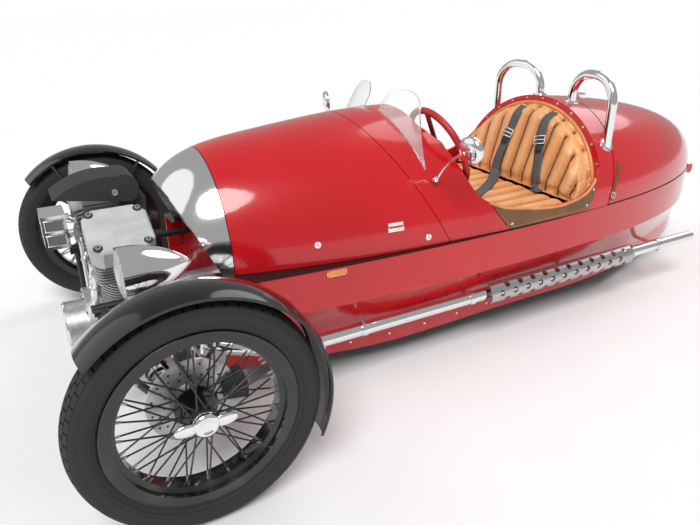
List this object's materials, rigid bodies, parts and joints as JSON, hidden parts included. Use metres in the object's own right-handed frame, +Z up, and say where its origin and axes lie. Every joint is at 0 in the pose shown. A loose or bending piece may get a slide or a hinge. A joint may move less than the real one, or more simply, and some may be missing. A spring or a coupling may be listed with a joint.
{
  "type": "three wheeled car",
  "caption": "Open two seat three wheeled sports car with an exposed V twin engine ahead of the nose, wire front wheels under cycle guards, and a single rear wheel in a barrel tail.",
  "frame": {"origin": "on the ground under the middle of the car's box", "axes": "+X forward, +Y to the car's left, +Z up"},
  "size_m": [3.2249, 1.722, 1.003],
  "materials": {
    "body_red": "gloss",
    "black_paint": "gloss",
    "black_frame": "satin",
    "chrome": "polished",
    "steel": "brushed",
    "aluminium": "cast",
    "engine_grey": "satin",
    "black_plastic": "matte",
    "rubber": "matte",
    "tan_leather": "satin",
    "brown_leather": "matte",
    "webbing": "woven",
    "clear": "clear",
    "lamp_glass": "clear",
    "amber": "clear",
    "red_lens": "clear",
    "dial": "gloss",
    "iron": "cast",
    "wheel_rim": "satin"
  },
  "bodies": {
    "chassis": {"lower_body": "body_red", "bonnet": "body_red", "nose_cowl": "chrome", "grille": "steel", "cockpit_surround": "body_red", "dashboard": "black_plastic", "gauges": "dial", "floor_pan": "black_frame", "front_bulkhead": "body_red", "rear_bulkhead": "black_frame", "boot_floor": "black_frame", "transmission_tunnel": "black_plastic", "seat_box": "black_frame", "seat_cushion": "tan_leather", "seat_back": "tan_leather", "seat_belts": "webbing", "gear_lever": "chrome", "pedals": "steel", "cockpit_flaps": "brown_leather", "steering_column": "chrome", "front_subframe": "black_frame", "wishbones": "black_frame", "dampers": "steel", "crankcase": "aluminium", "cylinders": "aluminium", "rocker_covers": "engine_grey", "airbox": "black_plastic", "intake_duct": "black_plastic", "oil_cooler": "chrome", "exhausts": "chrome", "heat_shields": "steel", "headlamps": "chrome", "headlamp_glasses": "lamp_glass", "tail_lamps": "red_lens", "side_markers": "amber", "roll_hoops": "chrome", "windscreens": "clear", "mirrors": "chrome", "rear_arm": "black_frame", "bevel_box": "iron"},
    "tail_lid": {"tail_lid": "body_red", "filler_cap": "chrome"},
    "knuckle_left": {"upright_left": "black_frame", "guard_left": "black_paint"},
    "knuckle_right": {"upright_right": "black_frame", "guard_right": "black_paint"},
    "front_wheel_left": {"front_tyre_left": "rubber", "wire_wheel_left": "black_paint", "brake_disc_left": "steel", "wheel_nut_left": "chrome"},
    "front_wheel_right": {"front_tyre_right": "rubber", "wire_wheel_right": "black_paint", "brake_disc_right": "steel", "wheel_nut_right": "chrome"},
    "rear_wheel": {"rear_tyre": "rubber", "rear_wheel": "aluminium"},
    "steering_wheel": {"steering_wheel": "wheel_rim"},
    "steering_rack": {"steering_rack": "steel"}
  },
  "joints": [
    {"name": "kingpin_left", "type": "hinge", "parent": "chassis", "child": "knuckle_left", "pos_m": [1.2745, 0.685, 0.338], "axis": [0, 0, 1], "range_deg": [-28, 28]},
    {"name": "kingpin_right", "type": "hinge", "parent": "chassis", "child": "knuckle_right", "pos_m": [1.2745, -0.685, 0.338], "axis": [0, 0, 1], "range_deg": [-28.1, 28.1]},
    {"name": "steering_turn", "type": "hinge", "parent": "chassis", "child": "steering_wheel", "pos_m": [0.118, 0.208, 0.76], "axis": [-0.9272, 0, 0.3746], "range_deg": [-393, 393]},
    {"name": "rack_slide", "type": "slide", "parent": "chassis", "child": "steering_rack", "axis": [0, 1, 0], "range_m": [-0.052, 0.052]},
    {"name": "front_roll_left", "type": "hinge", "parent": "knuckle_left", "child": "front_wheel_left", "pos_m": [1.2745, 0.795, 0.338], "axis": [0, 1, 0], "continuous": true},
    {"name": "front_roll_right", "type": "hinge", "parent": "knuckle_right", "child": "front_wheel_right", "pos_m": [1.2745, -0.795, 0.338], "axis": [0, 1, 0], "continuous": true},
    {"name": "rear_roll", "type": "hinge", "parent": "chassis", "child": "rear_wheel", "pos_m": [-1.1655, 0, 0.31], "axis": [0, 1, 0], "continuous": true},
    {"name": "lid_hinge", "type": "hinge", "parent": "chassis", "child": "tail_lid", "pos_m": [-1.6085, 0, 0.48], "axis": [0, -1, 0], "range_deg": [0, 55]}
  ],
  "couplings": [
    {"joint": "kingpin_right", "follows": "kingpin_left", "ratio": 1},
    {"joint": "steering_turn", "follows": "kingpin_left", "ratio": 14},
    {"joint": "rack_slide", "follows": "kingpin_left", "m_per_rad": -0.105}
  ]
}
